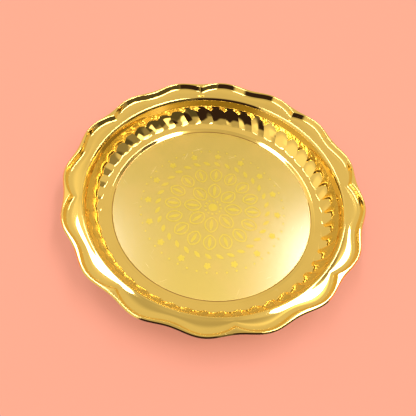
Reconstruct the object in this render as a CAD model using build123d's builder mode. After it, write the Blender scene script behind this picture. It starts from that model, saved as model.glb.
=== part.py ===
from build123d import *
from math import cos, exp, pi, radians, sin, tan
import os

# Puja thali: a round, shallow ritual tray pressed from one brass sheet.
# Millimetres, +Z up, origin at the middle of the flat underside that it rests on.

# Sheet and overall sizes
SHEET = 0.7
RIM_RADIUS = 127.0
RIM_HEIGHT = 30.7

# Scalloped rim: lobes, with a sharp notch and a rounded notch in turn between them
NOTCH_PAIRS = 8
SCALLOP_DEPTH = 3.1
SHARP_NOTCH = 6.5
ROUND_NOTCH = 4.0

# Flat floor disc and the small sloping step around it
DISC_RADIUS = 87.4
STEP_LENGTH = 3.0
STEP_ANGLE = 25.0
STEP_BEND_RADIUS = 1.5

# Side wall: gently rising shelf, cove, straight fluted slope, knee and upright collar
SHELF_ANGLE = 7.0
COVE_RADIUS = 14.0
WALL_ANGLE = 57.0
KNEE_HEIGHT = 16.5
KNEE_RADIUS = 1.8
COLLAR_ANGLE = 84.0
SHOULDER_RADIUS = 1.7
RIDGE_RADIUS = 109.7

# Swirled, rounded flutes with sharp creases pressed outwards between them
FLUTES = 48
FLUTE_CREASE = 2.0
FLUTE_FADE = 0.13
FLUTE_SWIRL = 4.8
FLUTE_START = 0.2
FLUTE_TIP_RISE = 1.9
FLUTE_TOP_DROP = 13.5

# Flange with a shallow dip, raised lip and turned-down hem
FLANGE_DROP = 4.4
FLANGE_ANGLE = 7.0
LIP_FOOT_RADIUS = 1.8
LIP_ANGLE = 62.0
LIP_CREST_RADIUS = 0.9
LEDGE_WIDTH = 0.5
HEM_RADIUS = 1.0
HEM_DROP = 1.8

# Printed lotus rosette on the disc, from the middle outwards
FILM = 0.1
PRINT_LINE = 1.1
PRINT_GAP = 2.0
CENTRE_RADIUS = 4.0
SEED_RADIUS = 1.0
SEED_SPACING = 3.6
INNER_PETAL_LENGTH = 16.0
INNER_PETAL_WIDTH = 12.0
OUTER_PETAL_LENGTH = 15.0
OUTER_PETAL_WIDTH = 11.5
PETAL_VEIN_INSET = 4.4
PETAL_VEIN_SHARE = 0.25
LEAF_LENGTH = 7.5
LEAF_WIDTH = 3.2
LEAF_TILT = 55.0
LEAF_SPACING = 9.4
BLOSSOM_PETALS = 5
BLOSSOM_PETAL_RADIUS = 1.2
BLOSSOM_HEART_RADIUS = 1.3
BLOSSOM_SPACING = 22.0
DOT_RADIUS = 0.9
DOT_SPACING = 8.2

# Pitches, levels and how finely each part of the sheet is drawn
FLUTE_PITCH = 360 / FLUTES
PITCH_SPANS = 6
ARC_SPANS = 2
SHELF_SPANS = 2
COVE_SPANS = 6
WALL_SPANS = 4
SHOULDER_SPANS = 4
HALF_PULL = 0.5
NOTCH_PERIOD = 360 / NOTCH_PAIRS
DISC_TOP = SHEET
FLANGE_HEIGHT = RIM_HEIGHT - FLANGE_DROP
FLUTE_TIP_HEIGHT = DISC_TOP + FLUTE_TIP_RISE
FLUTE_TOP_HEIGHT = RIM_HEIGHT - FLUTE_TOP_DROP


def rise(radius, start, end):
    """Height gained along an arc that bends from one slope to another."""
    return radius * abs(cos(radians(start)) - cos(radians(end)))


def run(radius, start, end):
    """Width gained along an arc that bends from one slope to another."""
    return radius * abs(sin(radians(end)) - sin(radians(start)))


def reach(radius, turn):
    """Distance from a corner to where an arc that rounds it begins."""
    return radius * tan(radians(turn / 2))


step_run = run(STEP_BEND_RADIUS, 0, STEP_ANGLE) + STEP_LENGTH * cos(radians(STEP_ANGLE))
step_run += run(STEP_BEND_RADIUS, STEP_ANGLE, SHELF_ANGLE)
step_rise = rise(STEP_BEND_RADIUS, 0, STEP_ANGLE) + STEP_LENGTH * sin(radians(STEP_ANGLE))
step_rise += rise(STEP_BEND_RADIUS, STEP_ANGLE, SHELF_ANGLE)

collar_rise = FLANGE_HEIGHT - KNEE_HEIGHT
knee_corner = RIDGE_RADIUS - collar_rise / tan(radians(COLLAR_ANGLE))
wall_rise = KNEE_HEIGHT - DISC_TOP - step_rise
wall_run = knee_corner - DISC_RADIUS - step_run
wall_pitch = tan(radians(WALL_ANGLE))
shelf_run = (wall_run * wall_pitch - wall_rise) / (wall_pitch - tan(radians(SHELF_ANGLE)))

cove_reach = reach(COVE_RADIUS, WALL_ANGLE - SHELF_ANGLE)
knee_reach = reach(KNEE_RADIUS, COLLAR_ANGLE - WALL_ANGLE)
shoulder_reach = reach(SHOULDER_RADIUS, COLLAR_ANGLE + FLANGE_ANGLE)
shelf_length = shelf_run / cos(radians(SHELF_ANGLE)) - cove_reach
wall_length = (wall_run - shelf_run) / cos(radians(WALL_ANGLE)) - cove_reach - knee_reach
collar_length = collar_rise / sin(radians(COLLAR_ANGLE)) - knee_reach - shoulder_reach

flange_start = RIDGE_RADIUS + shoulder_reach * cos(radians(FLANGE_ANGLE))
flange_end_height = FLANGE_HEIGHT - shoulder_reach * sin(radians(FLANGE_ANGLE))
lip_rise = RIM_HEIGHT - flange_end_height
lip_arc_rise = rise(LIP_FOOT_RADIUS, FLANGE_ANGLE, LIP_ANGLE) + rise(LIP_CREST_RADIUS, LIP_ANGLE, 0)
lip_arc_run = run(LIP_FOOT_RADIUS, FLANGE_ANGLE, LIP_ANGLE) + run(LIP_CREST_RADIUS, LIP_ANGLE, 0)
lip_length = (lip_rise - lip_arc_rise) / sin(radians(LIP_ANGLE))
lip_run = lip_arc_run + lip_length * cos(radians(LIP_ANGLE))
flange_run = RIM_RADIUS - HEM_RADIUS - LEDGE_WIDTH - lip_run - flange_start
flange_radius = flange_run / 2 / sin(radians(FLANGE_ANGLE))

# Upper skin of the sheet through a lobe, from the disc's edge out to the hem
with BuildLine(Plane.XZ) as meridian:
    step_heel = JernArc((DISC_RADIUS, DISC_TOP), (1, 0), STEP_BEND_RADIUS, STEP_ANGLE)
    step = PolarLine(step_heel @ 1, STEP_LENGTH, STEP_ANGLE)
    step_brow = JernArc(step @ 1, step % 1, STEP_BEND_RADIUS, SHELF_ANGLE - STEP_ANGLE)
    shelf = PolarLine(step_brow @ 1, shelf_length, SHELF_ANGLE)
    cove = JernArc(shelf @ 1, shelf % 1, COVE_RADIUS, WALL_ANGLE - SHELF_ANGLE)
    wall = PolarLine(cove @ 1, wall_length, WALL_ANGLE)
    knee = JernArc(wall @ 1, wall % 1, KNEE_RADIUS, COLLAR_ANGLE - WALL_ANGLE)
    collar = PolarLine(knee @ 1, collar_length, COLLAR_ANGLE)
    shoulder = JernArc(collar @ 1, collar % 1, SHOULDER_RADIUS, -COLLAR_ANGLE - FLANGE_ANGLE)
    flange = JernArc(shoulder @ 1, shoulder % 1, flange_radius, 2 * FLANGE_ANGLE)
    lip_heel = JernArc(flange @ 1, flange % 1, LIP_FOOT_RADIUS, LIP_ANGLE - FLANGE_ANGLE)
    lip_wall = PolarLine(lip_heel @ 1, lip_length, LIP_ANGLE)
    lip_crest = JernArc(lip_wall @ 1, lip_wall % 1, LIP_CREST_RADIUS, -LIP_ANGLE)
    ledge = Line(lip_crest @ 1, (RIM_RADIUS - HEM_RADIUS, RIM_HEIGHT))
    hem = JernArc(ledge @ 1, (1, 0), HEM_RADIUS, -90)
    skirt = Line(hem @ 1, (RIM_RADIUS, RIM_HEIGHT - HEM_DROP))


def scallop(angle):
    """How far the outer edge draws in from the lobes at an angle."""
    return SCALLOP_DEPTH * (1 - cos(radians(2 * NOTCH_PAIRS * angle))) / 2


def notch(angle):
    """How far the lip draws in from the lobes: sharp and rounded notches in turn."""
    quarter = NOTCH_PERIOD / 4
    from_sharp = abs((angle - quarter + NOTCH_PERIOD / 2) % NOTCH_PERIOD - NOTCH_PERIOD / 2)
    if from_sharp < quarter:
        return SHARP_NOTCH * (1 - from_sharp / quarter) ** 2
    return ROUND_NOTCH * (1 - cos(pi * (from_sharp / quarter - 1))) / 2


def flute_share(height):
    """Share of the flute's rise that lies below a height, from 0 at its tip to 1 at its top."""
    share = (height - FLUTE_TIP_HEIGHT) / (FLUTE_TOP_HEIGHT - FLUTE_TIP_HEIGHT)
    return min(max(share, 0), 1)


def crease(height, across):
    """Depth pressed into the wall at a height, and at a share across a flute from -1 to 1."""
    climb = flute_share(height) / FLUTE_FADE
    return FLUTE_CREASE * climb * exp(1 - climb) * across**2


def stations(edge, count, lip_pull=0.0, edge_pull=0.0):
    """Evenly spaced points along a meridian edge, each with its direction and the waves' pull."""
    shares = [(place + 1) / count for place in range(count)]
    return [(edge @ share, edge % share, lip_pull, edge_pull) for share in shares]


def section(station, depth):
    """Closed outline of the sheet at one station, at a depth below its upper skin."""
    point, along, lip_pull, edge_pull = station
    radius = point.X + depth * along.Z
    swirl = FLUTE_SWIRL * flute_share(point.Z)
    with BuildSketch(Plane.XY.offset(point.Z - depth * along.X)) as outline:
        with BuildLine():
            for flute in range(FLUTES):
                points = []
                for span in range(PITCH_SPANS + 1):
                    across = 2 * span / PITCH_SPANS - 1
                    angle = (flute + across / 2) * FLUTE_PITCH + swirl + FLUTE_START
                    pull = lip_pull * notch(angle) + edge_pull * scallop(angle)
                    extent = radius + crease(point.Z, across) - pull
                    points.append((extent * cos(radians(angle)), extent * sin(radians(angle))))
                Spline(*points)
        make_face()
    return outline.sketch


skin = [(step_heel @ 0, step_heel % 0, 0.0, 0.0)]
skin += stations(step_heel, ARC_SPANS) + stations(step, 1) + stations(step_brow, ARC_SPANS)
skin += stations(shelf, SHELF_SPANS) + stations(cove, COVE_SPANS) + stations(wall, WALL_SPANS)
skin += stations(knee, ARC_SPANS) + stations(collar, 1) + stations(shoulder, SHOULDER_SPANS)
skin += stations(flange, 2, lip_pull=HALF_PULL)[:1] + stations(flange, 1, lip_pull=1)
skin += stations(lip_heel, ARC_SPANS, lip_pull=1) + stations(lip_wall, 1, lip_pull=1)
skin += stations(lip_crest, ARC_SPANS, lip_pull=1)
skin += stations(ledge, 1, edge_pull=1) + stations(hem, ARC_SPANS, edge_pull=1)
skin += stations(skirt, 1, edge_pull=1)

upper = [section(station, 0) for station in skin]
under = [section(station, SHEET) for station in reversed(skin)]

with BuildPart() as dish:
    loft(upper + under, ruled=True, clean=False)


seed_ring = CENTRE_RADIUS + PRINT_GAP + SEED_RADIUS
inner_petal_ring = seed_ring + SEED_RADIUS + PRINT_GAP + INNER_PETAL_LENGTH / 2
outer_petal_ring = inner_petal_ring + INNER_PETAL_LENGTH / 2 + PRINT_GAP + OUTER_PETAL_LENGTH / 2
leaf_reach = (LEAF_LENGTH * abs(cos(radians(LEAF_TILT))) + LEAF_WIDTH) / 2
leaf_ring = outer_petal_ring + OUTER_PETAL_LENGTH / 2 + PRINT_GAP + leaf_reach
blossom_arm = BLOSSOM_HEART_RADIUS + BLOSSOM_PETAL_RADIUS / 2
blossom_reach = blossom_arm + BLOSSOM_PETAL_RADIUS
blossom_ring = leaf_ring + leaf_reach + PRINT_GAP + blossom_reach
dot_ring = blossom_ring + blossom_reach + PRINT_GAP + DOT_RADIUS


def around(ring, spacing):
    """How many copies fit around a ring of the print at a spacing."""
    return int(2 * pi * ring / spacing)


def leaf_shape(length, width):
    """Pointed leaf along X, centred, bounded by two arcs."""
    with BuildSketch() as leaf:
        with BuildLine():
            ThreePointArc((-length / 2, 0), (0, width / 2), (length / 2, 0))
            ThreePointArc((length / 2, 0), (0, -width / 2), (-length / 2, 0))
        make_face()
    return leaf.sketch


def petal_shape(length, width):
    """Outlined petal with a slim leaf along its middle."""
    with BuildSketch() as petal:
        add(leaf_shape(length, width))
        offset(amount=-PRINT_LINE, mode=Mode.SUBTRACT)
        add(leaf_shape(length - PETAL_VEIN_INSET, width * PETAL_VEIN_SHARE))
    return petal.sketch


with BuildSketch() as blossom:
    Circle(BLOSSOM_HEART_RADIUS)
    with PolarLocations(blossom_arm, BLOSSOM_PETALS):
        Circle(BLOSSOM_PETAL_RADIUS)

with BuildPart() as print_centre:
    with BuildSketch(Plane.XY.offset(DISC_TOP)):
        Circle(CENTRE_RADIUS)
    extrude(amount=FILM)

with BuildPart() as print_seeds:
    with BuildSketch(Plane.XY.offset(DISC_TOP)):
        with PolarLocations(seed_ring, around(seed_ring, SEED_SPACING)):
            Circle(SEED_RADIUS)
    extrude(amount=FILM)

with BuildPart() as print_inner_petals:
    with BuildSketch(Plane.XY.offset(DISC_TOP)):
        with PolarLocations(inner_petal_ring, around(inner_petal_ring, INNER_PETAL_WIDTH + PRINT_GAP)):
            add(petal_shape(INNER_PETAL_LENGTH, INNER_PETAL_WIDTH))
    extrude(amount=FILM)

with BuildPart() as print_outer_petals:
    with BuildSketch(Plane.XY.offset(DISC_TOP)):
        with PolarLocations(outer_petal_ring, around(outer_petal_ring, OUTER_PETAL_WIDTH + PRINT_GAP)):
            add(petal_shape(OUTER_PETAL_LENGTH, OUTER_PETAL_WIDTH))
    extrude(amount=FILM)

with BuildPart() as print_leaves:
    with BuildSketch(Plane.XY.offset(DISC_TOP)):
        with PolarLocations(leaf_ring, around(leaf_ring, LEAF_SPACING)):
            add(leaf_shape(LEAF_LENGTH, LEAF_WIDTH), rotation=LEAF_TILT)
    extrude(amount=FILM)

with BuildPart() as print_blossoms:
    with BuildSketch(Plane.XY.offset(DISC_TOP)):
        with PolarLocations(blossom_ring, around(blossom_ring, BLOSSOM_SPACING)):
            add(blossom.sketch)
    extrude(amount=FILM)

with BuildPart() as print_border_dots:
    with BuildSketch(Plane.XY.offset(DISC_TOP)):
        with PolarLocations(dot_ring, around(dot_ring, DOT_SPACING)):
            Circle(DOT_RADIUS)
    extrude(amount=FILM)

pieces = {
    "dish": dish,
    "print_centre": print_centre,
    "print_seeds": print_seeds,
    "print_inner_petals": print_inner_petals,
    "print_outer_petals": print_outer_petals,
    "print_leaves": print_leaves,
    "print_blossoms": print_blossoms,
    "print_border_dots": print_border_dots,
}
os.makedirs("parts", exist_ok=True)
for name, piece in pieces.items():
    piece.part.label = name
    export_step(piece.part, f"parts/{name}.step")
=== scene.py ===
"""Puja thali: the looks of a pressed, mirror-polished brass tray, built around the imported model."""

from __future__ import annotations

import logging
from dataclasses import dataclass
from enum import Enum
from math import cos, pi, radians, sin, tan

import bpy
import numpy as np
from mathutils import Matrix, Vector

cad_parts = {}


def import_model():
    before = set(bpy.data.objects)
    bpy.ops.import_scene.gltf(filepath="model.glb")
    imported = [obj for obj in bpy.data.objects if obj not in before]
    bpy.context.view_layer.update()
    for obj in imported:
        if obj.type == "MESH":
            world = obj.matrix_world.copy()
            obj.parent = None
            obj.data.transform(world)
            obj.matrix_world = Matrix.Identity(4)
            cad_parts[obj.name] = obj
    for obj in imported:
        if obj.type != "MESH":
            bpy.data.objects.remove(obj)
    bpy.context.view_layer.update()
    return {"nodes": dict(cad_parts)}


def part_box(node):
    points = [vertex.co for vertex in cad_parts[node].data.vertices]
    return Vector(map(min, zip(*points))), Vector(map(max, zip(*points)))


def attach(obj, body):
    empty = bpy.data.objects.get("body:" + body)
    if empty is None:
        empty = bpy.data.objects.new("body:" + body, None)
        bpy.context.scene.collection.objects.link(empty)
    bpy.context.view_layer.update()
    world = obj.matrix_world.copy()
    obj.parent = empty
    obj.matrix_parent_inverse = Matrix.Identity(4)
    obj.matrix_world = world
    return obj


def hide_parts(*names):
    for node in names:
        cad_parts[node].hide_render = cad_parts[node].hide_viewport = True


LOG = logging.getLogger("thali")
MM = 0.001
DISC_RADIUS = 87.4 * MM
ZENITH = 90
HALF_TURN = 180

Band = tuple[float, float]
Colour = tuple[float, float, float, float]


class Pull(Enum):
    """Which wave of the rim a ring of the sheet follows."""

    ROUND = "round"
    FLANGE = "flange"
    LIP = "lip"
    EDGE = "edge"


@dataclass(frozen=True)
class Station:
    """One ring of the sheet's upper skin.

    Attributes:
        radius: Distance from the axis through a lobe, in metres.
        height: Height above the resting plane, in metres.
        pull: Wave that draws the ring inwards.
        share: How much of the wave the ring follows.
    """

    radius: float
    height: float
    pull: Pull = Pull.ROUND
    share: float = 0.0


class Meridian:
    """Pen that walks along the upper skin of the sheet and records rings."""

    def __init__(self, radius: float, height: float) -> None:
        """Start level at a point.

        Args:
            radius: First ring's radius, in metres.
            height: First ring's height, in metres.
        """
        self.radius = radius
        self.height = height
        self.slope = 0.0
        self.stations: list[Station] = []

    def mark(self, pull: Pull, share: float) -> None:
        """Record a ring at the pen's place."""
        self.stations.append(Station(self.radius, self.height, pull, share))

    def line(self, length: float, steps: int, pull: Pull = Pull.ROUND, share: float = 0.0) -> None:
        """Walk straight on.

        Args:
            length: Length of the walk, in metres.
            steps: Rings recorded on the way, the last at its end.
            pull: Wave that the rings follow.
            share: How much of the wave they follow.
        """
        for _ in range(steps):
            self.radius += length / steps * cos(self.slope)
            self.height += length / steps * sin(self.slope)
            self.mark(pull, share)

    def arc(
        self,
        bend: float,
        turn: float,
        steps: int,
        pull: Pull = Pull.ROUND,
        shares: Band = (0, 0),
    ) -> None:
        """Walk along an arc.

        Args:
            bend: Radius of the arc, in metres.
            turn: Angle turned upwards, in radians; negative turns down.
            steps: Rings recorded on the way, the last at its end.
            pull: Wave that the rings follow.
            shares: How much of the wave they follow, before the first ring and at the last.
        """
        chord = 2 * bend * sin(abs(turn) / steps / 2)
        for step in range(1, steps + 1):
            heading = self.slope + turn / steps / 2
            self.radius += chord * cos(heading)
            self.height += chord * sin(heading)
            self.slope += turn / steps
            self.mark(pull, shares[0] + (shares[1] - shares[0]) * step / steps)


@dataclass(frozen=True)
class Rings:
    """How many rings of faces each stretch of the sheet is turned with."""

    step_bend: int = 6
    step: int = 3
    shelf_bend: int = 5
    shelf: int = 2
    toe_bend: int = 3
    cove: int = 8
    wall: int = 11
    knee_bend: int = 5
    collar: int = 3
    brow_bend: int = 4
    brow: int = 2
    shoulder: int = 8
    flange: int = 8
    lip_foot: int = 6
    lip: int = 2
    lip_crest: int = 8
    ledge: int = 1
    hem_bend: int = 8
    hem: int = 2


@dataclass
class Dish:
    """The pressed brass tray: floor disc, step, fluted wall, flange, lip and hem.

    Sizes are in metres and angles in radians. They follow the solid, with finer relief on the
    wall, the flutes and the hem; the overall radius and height come from the frame.
    """

    rim_radius: float
    rim_height: float
    sheet: float = 0.7 * MM
    disc_radius: float = DISC_RADIUS
    step_slope: float = radians(25)
    step_length: float = 3.0 * MM
    step_radius: float = 1.5 * MM
    shelf_slope: float = radians(7.5)
    toe_slope: float = radians(36)
    toe_radius: float = 1.0 * MM
    cove_radius: float = 30.0 * MM
    wall_slope: float = radians(64)
    knee_height: float = 17.2 * MM
    knee_radius: float = 3.0 * MM
    collar_slope: float = radians(85)
    brow_slope: float = radians(60)
    brow_length: float = 1.7 * MM
    shoulder_radius: float = 1.5 * MM
    ridge_radius: float = 109.7 * MM
    flutes: int = 48
    flute_groove: float = 1.5 * MM
    flute_fade: float = 0.05
    flute_taper: float = 1.2
    flute_crown: float = 1.6
    flute_swirl: float = radians(4.8)
    flute_phase: float = radians(0.2)
    flute_tip_rise: float = 1.8 * MM
    flute_top_drop: float = 13.5 * MM
    flange_drop: float = 4.4 * MM
    flange_slope: float = radians(7)
    lip_foot_radius: float = 1.8 * MM
    lip_angle: float = radians(62)
    lip_crest_radius: float = 0.9 * MM
    ledge_width: float = 0.2 * MM
    hem_radius: float = 0.6 * MM
    hem_slope: float = radians(47)
    hem_length: float = 1.3 * MM
    notch_pairs: int = 8
    scallop_depth: float = 3.1 * MM
    sharp_notch: float = 6.5 * MM
    round_notch: float = 4.0 * MM
    columns_per_flute: int = 10
    counts: Rings = Rings()
    ring_tolerance: float = 0.01 * MM
    sharp_angle: float = radians(13)
    floor_insets: tuple[float, ...] = (0.6 * MM, 12 * MM, 24 * MM, 24 * MM)
    name: str = "pressed_dish"

    def stations(self) -> list[Station]:
        """Rings of the upper skin, from the disc's edge to the hem's lower edge.

        Returns:
            The rings in order, without the disc's own edge.
        """
        pen = Meridian(self.disc_radius, self.sheet)
        self.draw_step(pen)
        self.draw_wall(pen)
        self.draw_rim(pen)
        return pen.stations

    def draw_step(self, pen: Meridian) -> None:
        """Draw the step around the disc.

        Args:
            pen: The pen, at the disc's edge.
        """
        pen.arc(self.step_radius, self.step_slope, self.counts.step_bend)
        pen.line(self.step_length, self.counts.step)
        pen.arc(self.step_radius, self.shelf_slope - self.step_slope, self.counts.shelf_bend)

    def draw_wall(self, pen: Meridian) -> None:
        """Draw the shelf, the wall, the collar, the brow and the shoulder.

        Args:
            pen: The pen, at the outer end of the step.
        """
        flange_height = self.rim_height - self.flange_drop
        brow_reach = self.shoulder_radius * tan((self.collar_slope - self.brow_slope) / 2)
        shoulder_reach = self.shoulder_radius * tan((self.brow_slope + self.flange_slope) / 2)
        brow = brow_reach + self.brow_length + shoulder_reach
        collar_rise = flange_height - brow * sin(self.brow_slope) - self.knee_height
        knee = self.ridge_radius - brow * cos(self.brow_slope)
        knee -= collar_rise / tan(self.collar_slope)
        shelf, wall = tan(self.shelf_slope), tan(self.wall_slope)
        run = self.toe_radius * (sin(self.toe_slope) - sin(self.shelf_slope))
        run += self.cove_radius * (sin(self.wall_slope) - sin(self.toe_slope))
        rise = self.toe_radius * (cos(self.shelf_slope) - cos(self.toe_slope))
        rise += self.cove_radius * (cos(self.toe_slope) - cos(self.wall_slope))
        foot = (knee - run) * wall + pen.height - pen.radius * shelf + rise - self.knee_height
        foot /= wall - shelf
        knee_reach = self.knee_radius * tan((self.collar_slope - self.wall_slope) / 2)
        pen.line((foot - pen.radius) / cos(self.shelf_slope), self.counts.shelf)
        pen.arc(self.toe_radius, self.toe_slope - self.shelf_slope, self.counts.toe_bend)
        pen.arc(self.cove_radius, self.wall_slope - self.toe_slope, self.counts.cove)
        pen.line((knee - foot - run) / cos(self.wall_slope) - knee_reach, self.counts.wall)
        pen.arc(self.knee_radius, self.collar_slope - self.wall_slope, self.counts.knee_bend)
        pen.line(collar_rise / sin(self.collar_slope) - knee_reach - brow_reach, self.counts.collar)
        pen.arc(self.shoulder_radius, self.brow_slope - self.collar_slope, self.counts.brow_bend)
        pen.line(self.brow_length, self.counts.brow)
        pen.arc(self.shoulder_radius, -self.brow_slope - self.flange_slope, self.counts.shoulder)

    def draw_rim(self, pen: Meridian) -> None:
        """Draw the flange, the lip and the hem.

        Args:
            pen: The pen, at the ridge.
        """
        arcs = self.lip_foot_radius * (cos(self.flange_slope) - cos(self.lip_angle))
        arcs += self.lip_crest_radius * (1 - cos(self.lip_angle))
        lip_length = (self.rim_height - pen.height - arcs) / sin(self.lip_angle)
        lip_run = self.lip_foot_radius * (sin(self.lip_angle) - sin(self.flange_slope))
        lip_run += lip_length * cos(self.lip_angle) + self.lip_crest_radius * sin(self.lip_angle)
        hem_run = self.hem_radius * sin(self.hem_slope) + self.hem_length * cos(self.hem_slope)
        lip_foot = self.rim_radius - hem_run - self.ledge_width - lip_run
        flange_bend = (lip_foot - pen.radius) / 2 / sin(self.flange_slope)
        lip_turn = self.lip_angle - self.flange_slope
        pen.arc(flange_bend, 2 * self.flange_slope, self.counts.flange, Pull.FLANGE, (0, 1))
        pen.arc(self.lip_foot_radius, lip_turn, self.counts.lip_foot, Pull.LIP, (1, 1))
        pen.line(lip_length, self.counts.lip, Pull.LIP, 1)
        pen.arc(self.lip_crest_radius, -self.lip_angle, self.counts.lip_crest, Pull.LIP, (1, 1))
        pen.line(self.ledge_width, self.counts.ledge, Pull.EDGE, 1)
        pen.arc(self.hem_radius, -self.hem_slope, self.counts.hem_bend, Pull.EDGE, (1, 1))
        pen.line(self.hem_length, self.counts.hem, Pull.EDGE, 1)

    def flute_share(self, heights: np.ndarray) -> np.ndarray:
        """Share of the flutes' rise below each height, from 0 at their tips to 1 at their tops."""
        tip = self.sheet + self.flute_tip_rise
        top = self.rim_height - self.flute_top_drop
        return np.clip((heights - tip) / (top - tip), 0, 1)

    def groove(self, share: np.ndarray, across: np.ndarray) -> np.ndarray:
        """How far the wall is pressed outwards, in metres.

        Args:
            share: Share of the flutes' rise below each point.
            across: Place across each flute, from -1 to 1 at the creases.

        Returns:
            The depth at each point, greatest in the creases between the flutes.
        """
        depth = np.minimum(share / self.flute_fade, 1) * (1 - share) ** self.flute_taper
        return self.flute_groove * depth * np.abs(across) ** self.flute_crown

    def notch(self, angles: np.ndarray) -> np.ndarray:
        """How far the lip draws in from the lobes at each angle, in metres."""
        period = 2 * pi / self.notch_pairs
        quarter = period / 4
        away = np.abs((angles - quarter + period / 2) % period - period / 2) / quarter
        sharp = self.sharp_notch * np.clip(1 - away, 0, 1) ** 2
        rounded = self.round_notch * (1 - np.cos(pi * (away - 1))) / 2
        return np.where(away < 1, sharp, rounded)

    def scallop(self, angles: np.ndarray) -> np.ndarray:
        """How far the outer edge draws in from the lobes at each angle, in metres."""
        return self.scallop_depth * (1 - np.cos(2 * self.notch_pairs * angles)) / 2

    def build(self) -> bpy.types.Object:
        """Model the tray.

        Returns:
            The finished mesh object, at the origin.
        """
        columns = self.flutes * self.columns_per_flute
        bpy.ops.object.select_all(action="DESELECT")
        bpy.ops.mesh.primitive_circle_add(
            vertices=columns,
            radius=self.disc_radius,
            fill_type="NGON",
            location=(0, 0, self.sheet),
        )
        tray = bpy.context.active_object
        tray.name = self.name
        bpy.ops.object.transform_apply(location=True, rotation=False, scale=False)
        bpy.ops.object.mode_set(mode="EDIT")
        for inset in self.floor_insets:
            bpy.ops.mesh.inset(thickness=inset)
        bpy.ops.mesh.select_mode(type="EDGE")
        bpy.ops.mesh.select_all(action="DESELECT")
        bpy.ops.mesh.select_non_manifold(
            extend=False,
            use_wire=False,
            use_boundary=True,
            use_multi_face=False,
            use_non_contiguous=False,
        )
        rings = self.stations()
        radius, height = self.disc_radius, self.sheet
        for ring in rings:
            bpy.ops.mesh.extrude_edges_move(
                TRANSFORM_OT_translate={"value": (0, 0, ring.height - height)},
            )
            scale = ring.radius / radius
            bpy.ops.transform.resize(value=(scale, scale, 1), center_override=(0, 0, ring.height))
            radius, height = ring.radius, ring.height
        bpy.ops.object.mode_set(mode="OBJECT")
        self.press(tray, rings)
        bpy.ops.object.mode_set(mode="EDIT")
        bpy.ops.mesh.select_all(action="SELECT")
        bpy.ops.mesh.normals_make_consistent(inside=False)
        bpy.ops.object.mode_set(mode="OBJECT")
        wall = tray.modifiers.new("sheet", "SOLIDIFY")
        wall.thickness = self.sheet
        wall.offset = -1
        wall.use_even_offset = True
        bpy.ops.object.modifier_apply(modifier=wall.name)
        bpy.ops.object.shade_smooth_by_angle(angle=self.sharp_angle)
        return tray

    def press(self, tray: bpy.types.Object, rings: list[Station]) -> None:
        """Press the flutes, the flange's wave and the scallops into the turned tray.

        Args:
            tray: The mesh object, still round.
            rings: The rings it was turned with.
        """
        points = np.empty(len(tray.data.vertices) * 3)
        tray.data.vertices.foreach_get("co", points)
        points = points.reshape(-1, 3)
        radii = np.hypot(points[:, 0], points[:, 1])
        angles = np.arctan2(points[:, 1], points[:, 0])
        table = np.array([(ring.radius, ring.height) for ring in rings])
        gap = np.hypot(radii[:, None] - table[:, 0], points[:, 2, None] - table[:, 1])
        nearest = gap.argmin(axis=1)
        on_ring = gap.min(axis=1) < self.ring_tolerance
        share = self.flute_share(points[:, 2])
        half = pi / self.flutes
        across = ((angles + half) % (2 * half) - half) / half
        depth = np.where(on_ring, self.groove(share, across), 0)
        angles = angles + np.where(on_ring, self.flute_swirl * share + self.flute_phase, 0)
        pulls = np.zeros(len(points))
        waves = {Pull.FLANGE: self.notch, Pull.LIP: self.notch, Pull.EDGE: self.scallop}
        for wave, draw in waves.items():
            follow = np.array([ring.share if ring.pull is wave else 0.0 for ring in rings])
            pulls += np.where(on_ring, follow[nearest] * draw(angles), 0)
        radii += depth - pulls
        points[:, 0] = radii * np.cos(angles)
        points[:, 1] = radii * np.sin(angles)
        tray.data.vertices.foreach_set("co", points.ravel())
        tray.data.update()


Value = bpy.types.NodeSocket | float | tuple[float, ...]


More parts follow.
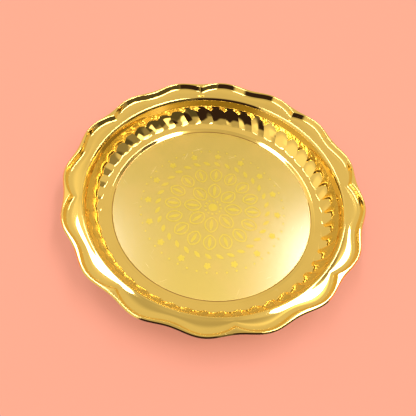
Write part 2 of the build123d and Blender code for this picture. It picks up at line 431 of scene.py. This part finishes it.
class Wiring:
    """Adds and joins the nodes of one shader tree.

    Attributes:
        MIX_INPUTS: Places of the Mix node's share and two colours among its inputs.
        MIX_RESULT: Place of its colour among its outputs.
    """

    MIX_INPUTS = (0, 6, 7)
    MIX_RESULT = 2

    def __init__(self, tree: bpy.types.NodeTree) -> None:
        """Take the tree that the nodes go into."""
        self.tree = tree

    def feed(self, socket: bpy.types.NodeSocket, value: Value) -> None:
        """Link another socket to this one, or set its constant value.

        Args:
            socket: The input.
            value: The socket or the constant that feeds it.
        """
        if isinstance(value, bpy.types.NodeSocket):
            self.tree.links.new(value, socket)
        else:
            socket.default_value = value

    def place(self) -> bpy.types.NodeSocket:
        """Object coordinates, in metres."""
        return self.tree.nodes.new("ShaderNodeTexCoord").outputs["Object"]

    def math(self, operation: str, *values: Value) -> bpy.types.NodeSocket:
        """Do sums on numbers.

        Args:
            operation: Blender's name for the sum.
            values: Its inputs.

        Returns:
            The result.
        """
        node = self.tree.nodes.new("ShaderNodeMath")
        node.operation = operation
        for socket, value in zip(node.inputs, values):
            self.feed(socket, value)
        return node.outputs[0]

    def vector(self, operation: str, *values: Value) -> bpy.types.NodeSocket:
        """Do sums on vectors.

        Args:
            operation: Blender's name for the sum.
            values: Its inputs.

        Returns:
            The result, a number for LENGTH.
        """
        node = self.tree.nodes.new("ShaderNodeVectorMath")
        node.operation = operation
        for socket, value in zip(node.inputs, values):
            self.feed(socket, value)
        return node.outputs["Value" if operation == "LENGTH" else "Vector"]

    def ramp(
        self, value: Value, band: Band, start: Value = 0.0, end: Value = 1.0
    ) -> bpy.types.NodeSocket:
        """Ease from one number to another as a value rises.

        Args:
            value: The value that rises.
            band: Where the ramp begins and ends.
            start: Result below the ramp.
            end: Result above the ramp.

        Returns:
            The eased number.
        """
        node = self.tree.nodes.new("ShaderNodeMapRange")
        node.interpolation_type = "SMOOTHSTEP"
        names = ("Value", "From Min", "From Max", "To Min", "To Max")
        for name, part in zip(names, (value, *band, start, end)):
            self.feed(node.inputs[name], part)
        return node.outputs[0]

    def noise(self, place: Value, scale: float, detail: float = 2.0) -> bpy.types.NodeSocket:
        """Cloudy noise.

        Args:
            place: Coordinates.
            scale: Lumps per metre.
            detail: Octaves of finer lumps.

        Returns:
            A number around one half.
        """
        node = self.tree.nodes.new("ShaderNodeTexNoise")
        self.feed(node.inputs["Vector"], place)
        node.inputs["Scale"].default_value = scale
        node.inputs["Detail"].default_value = detail
        return node.outputs["Fac"]

    def mix(self, share: Value, first: Value, second: Value) -> bpy.types.NodeSocket:
        """Blend two colours.

        Args:
            share: Share of the second colour.
            first: First colour.
            second: Second colour.

        Returns:
            The blend.
        """
        node = self.tree.nodes.new("ShaderNodeMix")
        node.data_type = "RGBA"
        for place, value in zip(self.MIX_INPUTS, (share, first, second)):
            self.feed(node.inputs[place], value)
        return node.outputs[self.MIX_RESULT]

    def bump(self, height: Value, depth: float, strength: float) -> bpy.types.NodeSocket:
        """Turn a height into a bumped normal.

        Args:
            height: Height from 0 to 1.
            depth: Height of the relief, in metres.
            strength: How much of the relief shows.

        Returns:
            The normal.
        """
        node = self.tree.nodes.new("ShaderNodeBump")
        self.feed(node.inputs["Height"], height)
        node.inputs["Distance"].default_value = depth
        node.inputs["Strength"].default_value = strength
        return node.outputs["Normal"]

    def group(self, tree: bpy.types.NodeTree) -> bpy.types.NodeOutputs:
        """Use a shared node group at this material's object coordinates.

        Args:
            tree: The group.

        Returns:
            The group's outputs, by name.
        """
        node = self.tree.nodes.new("ShaderNodeGroup")
        node.node_tree = tree
        self.feed(node.inputs["Place"], self.place())
        return node.outputs


@dataclass
class SharedEffects:
    """Node groups that the brass and the print have in common.

    Attributes:
        scratch_turns: Directions of the hairline scratches, in radians.
        scratch_length: Usual length of a scratch, in metres.
        scratch_width: Usual width of a scratch, in metres.
        scratch_band: Noise between which a scratch shows.
        smudge_size: Usual size of a wiping mark, in metres.
        smudge_band: Noise between which a wiping mark shows.
        smudge_detail: Octaves of finer wiping marks.
        speck_spacing: Size of the cells that hold at most one speck each, in metres.
        speck_band: Share of a cell over which a speck fades out.
        speck_rarity: Random length between which a cell holds a speck.
        ring_spacing: Usual distance between polishing lines, in metres.
        ring_detail: Octaves of finer polishing lines.
    """

    scratch_turns: tuple[float, ...] = (radians(-28), radians(49), radians(-71))
    scratch_length: float = 26 * MM
    scratch_width: float = 0.5 * MM
    scratch_band: Band = (0.86, 0.90)
    smudge_size: float = 30 * MM
    smudge_band: Band = (0.42, 0.72)
    smudge_detail: float = 4
    speck_spacing: float = 13 * MM
    speck_band: Band = (0.025, 0.05)
    speck_rarity: Band = (1.25, 1.3)
    ring_spacing: float = 0.9 * MM
    ring_detail: float = 3

    def start(
        self, name: str, *results: str
    ) -> tuple[Wiring, bpy.types.NodeSocket, bpy.types.Node]:
        """Begin a group that takes a place.

        Args:
            name: Name of the group.
            results: Names of its outputs.

        Returns:
            The group's wiring, its place input and its output node.
        """
        tree = bpy.data.node_groups.new(name, "ShaderNodeTree")
        tree.interface.new_socket("Place", in_out="INPUT", socket_type="NodeSocketVector")
        for result in results:
            tree.interface.new_socket(result, in_out="OUTPUT", socket_type="NodeSocketFloat")
        entry = tree.nodes.new("NodeGroupInput")
        return Wiring(tree), entry.outputs["Place"], tree.nodes.new("NodeGroupOutput")

    def handling(self) -> bpy.types.NodeTree:
        """Build the group of scratches, smudges and specks.

        Returns:
            The group.
        """
        wiring, place, result = self.start("handling_marks", "Scratch", "Smudge", "Speck")
        scratch = 0.0
        fineness = (1 / self.scratch_length, 1 / self.scratch_width, 1)
        for turn in self.scratch_turns:
            node = wiring.tree.nodes.new("ShaderNodeVectorRotate")
            node.rotation_type = "Z_AXIS"
            wiring.feed(node.inputs["Vector"], place)
            node.inputs["Angle"].default_value = turn
            along = wiring.vector("MULTIPLY", node.outputs[0], fineness)
            hair = wiring.ramp(wiring.noise(along, scale=1, detail=0), self.scratch_band)
            scratch = wiring.math("MAXIMUM", scratch, hair)
        cloud = wiring.noise(place, 1 / self.smudge_size, self.smudge_detail)
        smudge = wiring.ramp(cloud, self.smudge_band)
        cells = wiring.tree.nodes.new("ShaderNodeTexVoronoi")
        wiring.feed(cells.inputs["Vector"], place)
        cells.inputs["Scale"].default_value = 1 / self.speck_spacing
        rare = wiring.vector("LENGTH", cells.outputs["Color"])
        near = wiring.ramp(cells.outputs["Distance"], self.speck_band, 1.0, 0.0)
        speck = wiring.math("MULTIPLY", near, wiring.ramp(rare, self.speck_rarity))
        for name, value in (("Scratch", scratch), ("Smudge", smudge), ("Speck", speck)):
            wiring.feed(result.inputs[name], value)
        return wiring.tree

    def polishing(self) -> bpy.types.NodeTree:
        """Build the group of fine rings left by the polishing wheel.

        Returns:
            The group.
        """
        wiring, place, result = self.start("polishing_rings", "Radius", "Ring")
        radius = wiring.vector("LENGTH", wiring.vector("MULTIPLY", place, (1, 1, 0)))
        line = wiring.tree.nodes.new("ShaderNodeCombineXYZ")
        wiring.feed(line.inputs["X"], radius)
        wiring.feed(result.inputs["Radius"], radius)
        ring = wiring.noise(line.outputs[0], 1 / self.ring_spacing, self.ring_detail)
        wiring.feed(result.inputs["Ring"], ring)
        return wiring.tree


@dataclass(frozen=True)
class PolishedBrass:
    """Mirror-polished, lacquered, gold-toned brass with a satin floor disc.

    Attributes:
        colour: Clean metal.
        disc_colour: Metal of the satin disc.
        tarnish: Metal under smudges and specks.
        worn: Metal on rubbed edges.
        painted_crease_shade: Painted shade, a dark metal colour laid in the crease around the disc.
        roughness: Roughness of the mirror parts.
        satin: Roughness of the disc.
        lacquer: Roughness of the lacquer on the disc.
        lacquer_index: Refractive index of the lacquer.
        disc_fade: Where the satin fades out, from the disc's edge, in metres.
        shade_start: Where the painted shade begins, from the disc's edge, in metres.
        shade_end: Where the painted shade ends, from the disc's edge, in metres.
        shade_smudge: Smudge between which the painted shade thins out.
        shade_cover: How much the painted shade covers, before and after it thins out.
        edge_band: Pointiness between which an edge counts as rubbed.
        edge_rub: How much of the worn colour a rubbed edge takes.
        edge_blur: Roughness that rubbing adds.
        smudge_tint: How much of the tarnish a smudge takes.
        smudge_blur: Roughness that a smudge adds to the mirror parts.
        satin_smudge_blur: Roughness that a smudge adds to the disc.
        ring_blur: Range of the disc's roughness over the polishing rings.
        scratch_relief: Height of a scratch, in heights of a polishing ring.
        relief_depth: Height of a polishing ring, in metres.
        relief_strength: How much of that relief shows.
    """

    colour: Colour = (0.93, 0.70, 0.26, 1)
    disc_colour: Colour = (0.425, 0.308, 0.036, 1)
    tarnish: Colour = (0.72, 0.46, 0.115, 1)
    worn: Colour = (0.97, 0.79, 0.40, 1)
    painted_crease_shade: Colour = (0.28, 0.11, 0.025, 1)
    roughness: float = 0.04
    satin: float = 0.55
    lacquer: float = 0.21
    lacquer_index: float = 2.3
    disc_fade: Band = (-0.6 * MM, 0.2 * MM)
    shade_start: Band = (-0.3 * MM, 0.3 * MM)
    shade_end: Band = (0.5 * MM, 1.1 * MM)
    shade_smudge: Band = (0.0, 0.8)
    shade_cover: Band = (0.75, 0.4)
    edge_band: Band = (0.53, 0.60)
    edge_rub: float = 0.2
    edge_blur: float = 0.08
    smudge_tint: float = 0.16
    smudge_blur: float = 0.03
    satin_smudge_blur: float = 0.05
    ring_blur: float = 0.12
    scratch_relief: float = -0.6
    relief_depth: float = 0.004 * MM
    relief_strength: float = 0.5
    name: str = "polished_brass"

    def from_edge(self, band: Band) -> Band:
        """Radii of a band that is given from the disc's edge, in metres."""
        return DISC_RADIUS + band[0], DISC_RADIUS + band[1]

    def make(
        self, handling: bpy.types.NodeTree, polishing: bpy.types.NodeTree
    ) -> bpy.types.Material:
        """Build the material.

        Args:
            handling: Group of scratches, smudges and specks.
            polishing: Group of polishing rings.

        Returns:
            The node material.
        """
        material = bpy.data.materials.new(self.name)
        material.use_nodes = True
        wiring = Wiring(material.node_tree)
        shader = material.node_tree.nodes["Principled BSDF"]
        marks = wiring.group(handling)
        wheel = wiring.group(polishing)
        radius, smudge = wheel["Radius"], marks["Smudge"]
        disc = wiring.ramp(radius, self.from_edge(self.disc_fade), 1.0, 0.0)
        scratch = wiring.math("MULTIPLY", marks["Scratch"], disc)
        edge = wiring.tree.nodes.new("ShaderNodeNewGeometry").outputs["Pointiness"]
        rubbed = wiring.ramp(edge, self.edge_band, 0.0, self.edge_rub)
        # Painted shade: a dark band of colour in the crease at the disc's edge, thinned where smudges
        # lie.
        crease_shade = wiring.ramp(radius, self.from_edge(self.shade_start))
        outside = wiring.ramp(radius, self.from_edge(self.shade_end), 1.0, 0.0)
        crease_shade = wiring.math("MULTIPLY", crease_shade, outside)
        cover = wiring.ramp(smudge, self.shade_smudge, *self.shade_cover)
        crease_shade = wiring.math("MULTIPLY", crease_shade, cover)
        colour = wiring.mix(disc, self.colour, self.disc_colour)
        colour = wiring.mix(wiring.math("MULTIPLY", smudge, self.smudge_tint), colour, self.tarnish)
        colour = wiring.mix(wiring.math("MAXIMUM", scratch, rubbed), colour, self.worn)
        colour = wiring.mix(wiring.math("MULTIPLY", marks["Speck"], disc), colour, self.tarnish)
        # Lay the painted shade in the crease over the metal colour.
        colour = wiring.mix(crease_shade, colour, self.painted_crease_shade)
        wiring.feed(shader.inputs["Base Color"], colour)
        mirror = wiring.math("MULTIPLY_ADD", smudge, self.smudge_blur, self.roughness)
        mirror = wiring.math("MULTIPLY_ADD", rubbed, self.edge_blur, mirror)
        smoothest = self.satin - self.ring_blur / 2
        satin = wiring.math("MULTIPLY_ADD", wheel["Ring"], self.ring_blur, smoothest)
        satin = wiring.math("MULTIPLY_ADD", smudge, self.satin_smudge_blur, satin)
        wiring.feed(shader.inputs["Roughness"], wiring.ramp(disc, (0, 1), mirror, satin))
        wiring.feed(shader.inputs["Coat Weight"], disc)
        shader.inputs["Coat Roughness"].default_value = self.lacquer
        shader.inputs["Coat IOR"].default_value = self.lacquer_index
        shader.inputs["Metallic"].default_value = 1
        lines = wiring.math("MULTIPLY", wheel["Ring"], disc)
        relief = wiring.math("MULTIPLY_ADD", scratch, self.scratch_relief, lines)
        normal = wiring.bump(relief, self.relief_depth, self.relief_strength)
        wiring.feed(shader.inputs["Normal"], normal)
        return material


@dataclass(frozen=True)
class PrintedFilm:
    """Thin matte print in a warmer yellow than the brass beneath it.

    Attributes:
        colour: Fresh print.
        faded: Print where it was wiped thin.
        bare: Colour that shows through scratches.
        roughness: Roughness of the print.
        metallic: How much the metal beneath shows.
        gloss: Weight of the lacquer over the print.
        lacquer: Roughness of that lacquer.
        grain_size: Usual size of a grain of the print, in metres.
        grain_detail: Octaves of finer grains.
        wipe: How much a smudge thins the print.
        wipe_band: Grain between which the print looks thin.
        smudge_blur: Roughness that a smudge adds.
        ring_blur: Range of the roughness over the polishing rings.
        relief_depth: Height of a grain, in metres.
        relief_strength: How much of that relief shows.
    """

    colour: Colour = (0.512, 0.401, 0.037, 1)
    faded: Colour = (0.522, 0.39, 0.056, 1)
    bare: Colour = (0.615, 0.466, 0.124, 1)
    roughness: float = 0.42
    metallic: float = 0.6
    gloss: float = 0.35
    lacquer: float = 0.3
    grain_size: float = 0.6 * MM
    grain_detail: float = 3
    wipe: float = 0.3
    wipe_band: Band = (0.4, 0.8)
    smudge_blur: float = 0.06
    ring_blur: float = 0.1
    relief_depth: float = 0.01 * MM
    relief_strength: float = 0.4
    name: str = "printed_film"

    def make(
        self, handling: bpy.types.NodeTree, polishing: bpy.types.NodeTree
    ) -> bpy.types.Material:
        """Build the material.

        Args:
            handling: Group of scratches, smudges and specks.
            polishing: Group of polishing rings.

        Returns:
            The node material.
        """
        material = bpy.data.materials.new(self.name)
        material.use_nodes = True
        wiring = Wiring(material.node_tree)
        shader = material.node_tree.nodes["Principled BSDF"]
        marks = wiring.group(handling)
        wheel = wiring.group(polishing)
        smudge = marks["Smudge"]
        grain = wiring.noise(wiring.place(), 1 / self.grain_size, self.grain_detail)
        wiped = wiring.math("MULTIPLY_ADD", smudge, self.wipe, grain)
        colour = wiring.mix(wiring.ramp(wiped, self.wipe_band), self.colour, self.faded)
        wiring.feed(shader.inputs["Base Color"], wiring.mix(marks["Scratch"], colour, self.bare))
        smoothest = self.roughness - self.ring_blur / 2
        rough = wiring.math("MULTIPLY_ADD", wheel["Ring"], self.ring_blur, smoothest)
        rough = wiring.math("MULTIPLY_ADD", smudge, self.smudge_blur, rough)
        wiring.feed(shader.inputs["Roughness"], rough)
        shader.inputs["Metallic"].default_value = self.metallic
        shader.inputs["Coat Weight"].default_value = self.gloss
        shader.inputs["Coat Roughness"].default_value = self.lacquer
        normal = wiring.bump(grain, self.relief_depth, self.relief_strength)
        wiring.feed(shader.inputs["Normal"], normal)
        return material


@dataclass
class PhotoCamera:
    """Camera at the photograph's viewing angle."""

    place: tuple[float, float, float] = (-15.99 * MM, -228.35 * MM, 350.70 * MM)
    turn: float = radians(-2.937)
    tilt: float = radians(33.011)
    roll: float = radians(9.385)
    lens: float = 40.835
    sensor: float = 36
    nearest: float = 10 * MM

    def build(self) -> bpy.types.Object:
        """Add the camera and make it the scene's own.

        Returns:
            The camera object.
        """
        bpy.ops.object.camera_add()
        camera = bpy.context.active_object
        facing = Matrix.Rotation(self.turn, 4, "Z") @ Matrix.Rotation(self.tilt, 4, "X")
        facing = facing @ Matrix.Rotation(self.roll, 4, "Z")
        camera.matrix_world = Matrix.Translation(self.place) @ facing
        camera.data.lens = self.lens
        camera.data.sensor_width = self.sensor
        camera.data.clip_start = self.nearest
        bpy.context.scene.camera = camera
        return camera


Tint = tuple[float, float, float]

SILK = (0.948, 0.80, 0.45)
SHADE = (1.0, 0.55, 0.5)


@dataclass(frozen=True)
class Wall:
    """A soft-edged patch of the room around the tray.

    Attributes:
        bearing: Direction of its middle, clockwise from the back as seen from above, in degrees.
        reach: Half its width, in degrees.
        low: Elevation of its lower edge, in degrees.
        high: Elevation of its upper edge, in degrees.
        level: Brightness.
        feather: Width of its soft edge, in degrees.
        tint: Colour of its light.
    """

    bearing: float
    reach: float
    low: float
    high: float
    level: float
    feather: float = 8
    tint: Tint = SILK

    def soft(self, edge: float) -> Band:
        """Where the soft edge around an angle begins and ends, in degrees."""
        return edge - self.feather / 2, edge + self.feather / 2


@dataclass(frozen=True)
class Panel:
    """A long light panel on the tent's ceiling.

    Attributes:
        name: The light's name.
        middle: Where its middle hangs, right of and behind the tray, in ceiling heights.
        size: Width and length, in ceiling heights.
        level: Brightness.
    """

    name: str
    middle: tuple[float, float]
    size: tuple[float, float]
    level: float


@dataclass
class Studio:
    """Plain pale floor inside a tent of warm white silk with an open, unlit front.

    Attributes:
        level: Brightness of the silk where no patch covers it.
        tint: Colour of its light.
        ceiling: Height of the light panels, in metres.
        floor_size: Side of the floor, in metres.
        floor_colour: Colour of the floor.
        floor_glow: Light of the floor itself.
        floor_roughness: Roughness of the floor.
        floor_gap: How far the floor lies below the tray, in metres.
        backdrop: Colour behind the floor where the camera sees past it.
        walls: Patches of the room, each over those before it.
        panels: Lights.
    """

    level: float = 0.85
    tint: Tint = SILK
    ceiling: float = 3.0
    floor_size: float = 4.0
    floor_colour: Colour = (0.39, 0.163, 0.147, 1)
    floor_glow: Colour = (0.42, 0.185, 0.125, 1)
    floor_roughness: float = 0.9
    floor_gap: float = 0.2 * MM
    backdrop: Colour = (1.0, 0.43, 0.30, 1)
    walls: tuple[Wall, ...] = (
        Wall(246, 34, 16, 62, 1.25, 20),
        Wall(168, 36, 20, 72, 0.56, 28),
        Wall(318, 26, 50, 64, 1.15, 14),
        Wall(34, 16, 56, 64, 2.0),
        Wall(0, 22, 24, 46, 0.78, 12),
        Wall(0, 40, 68, 82, 0.58),
        Wall(0, 180, 78, 90, 0.68),
        Wall(214, 9, 22, 44, 1.5),
        Wall(92, 24, -90, 40, 0.33),
        Wall(104, 20, 42, 72, 6),
        Wall(76, 8, 57, 68, 0.12, 6),
        Wall(56, 10, 47, 60, 0.4, 6),
        Wall(128, 26, -90, 34, 0.11),
        Wall(180, 27, -90, 42, 0.035, tint=SHADE),
        Wall(124, 6, 18, 42, 3, 5),
    )
    panels: tuple[Panel, ...] = (
        Panel("panel_left", (-0.31, 0.12), (0.17, 0.84), 9.5),
        Panel("panel_right", (0.36, 0.17), (0.15, 0.92), 12),
    )

    def floor(self) -> bpy.types.Object:
        """Lay the floor.

        Returns:
            The floor object.
        """
        bpy.ops.mesh.primitive_plane_add(size=self.floor_size, location=(0, 0, -self.floor_gap))
        floor = bpy.context.active_object
        floor.name = "floor"
        material = bpy.data.materials.new("floor")
        material.use_nodes = True
        shader = material.node_tree.nodes["Principled BSDF"]
        shader.inputs["Base Color"].default_value = self.floor_colour
        shader.inputs["Roughness"].default_value = self.floor_roughness
        shader.inputs["Specular IOR Level"].default_value = 0
        shader.inputs["Emission Color"].default_value = self.floor_glow
        shader.inputs["Emission Strength"].default_value = 1
        floor.data.materials.append(material)
        return floor

    def hang(self, panel: Panel) -> None:
        """Hang one light, facing down.

        Args:
            panel: The light.
        """
        across, back = panel.middle
        place = (across * self.ceiling, back * self.ceiling, self.ceiling)
        bpy.ops.object.light_add(type="AREA", location=place)
        lamp = bpy.context.active_object
        lamp.name = panel.name
        lamp.data.shape = "RECTANGLE"
        lamp.data.size, lamp.data.size_y = (side * self.ceiling for side in panel.size)
        lamp.data.energy = panel.level * pi * lamp.data.size * lamp.data.size_y

    def room(self) -> None:
        """Paint the tent's walls on the world."""
        world = bpy.data.worlds.new("light_tent")
        world.use_nodes = True
        bpy.context.scene.world = world
        wiring = Wiring(world.node_tree)
        split = wiring.tree.nodes.new("ShaderNodeSeparateXYZ")
        sight = wiring.tree.nodes.new("ShaderNodeTexCoord").outputs["Generated"]
        wiring.feed(split.inputs[0], sight)
        across, back, up = split.outputs
        elevation = wiring.math("DEGREES", wiring.math("ARCSINE", up))
        bearing = wiring.math("DEGREES", wiring.math("ARCTAN2", across, back))
        light = (*(self.level * part for part in self.tint), 1)
        for wall in self.walls:
            turn = wiring.math("SUBTRACT", bearing, wall.bearing)
            turn = wiring.math("WRAP", turn, HALF_TURN, -HALF_TURN)
            aside = wiring.math("ABSOLUTE", turn)
            mask = wiring.ramp(aside, wall.soft(wall.reach), 1.0, 0.0)
            above = wiring.ramp(elevation, wall.soft(wall.low))
            mask = wiring.math("MULTIPLY", mask, above)
            if wall.high < ZENITH:
                below = wiring.ramp(elevation, wall.soft(wall.high), 1.0, 0.0)
                mask = wiring.math("MULTIPLY", mask, below)
            light = wiring.mix(mask, light, (*(wall.level * part for part in wall.tint), 1))
        seen = wiring.tree.nodes.new("ShaderNodeLightPath").outputs["Is Camera Ray"]
        light = wiring.mix(seen, light, self.backdrop)
        wiring.feed(world.node_tree.nodes["Background"].inputs["Color"], light)

    def build(self) -> None:
        """Set up the floor, the lights and the room."""
        self.floor()
        for panel in self.panels:
            self.hang(panel)
        self.room()


def main() -> None:
    """Build the tray, dress it and light it."""
    logging.basicConfig(level=logging.INFO, format="%(message)s")
    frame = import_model()
    _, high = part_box("dish")
    dish = Dish(rim_radius=high.x, rim_height=high.z)
    tray = dish.build()
    effects = SharedEffects()
    handling, polishing = effects.handling(), effects.polishing()
    tray.data.materials.append(PolishedBrass().make(handling, polishing))
    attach(tray, "root")
    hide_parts("dish")
    LOG.info("%s: %d faces", tray.name, len(tray.data.polygons))
    film = PrintedFilm().make(handling, polishing)
    for name, node in frame["nodes"].items():
        if name.startswith("print_"):
            for slot in node.material_slots:
                slot.material = film
            LOG.info("%s: printed", name)
    PhotoCamera().build()
    Studio().build()
    bpy.context.scene.view_settings.view_transform = "Standard"


if __name__ == "__main__":
    main()
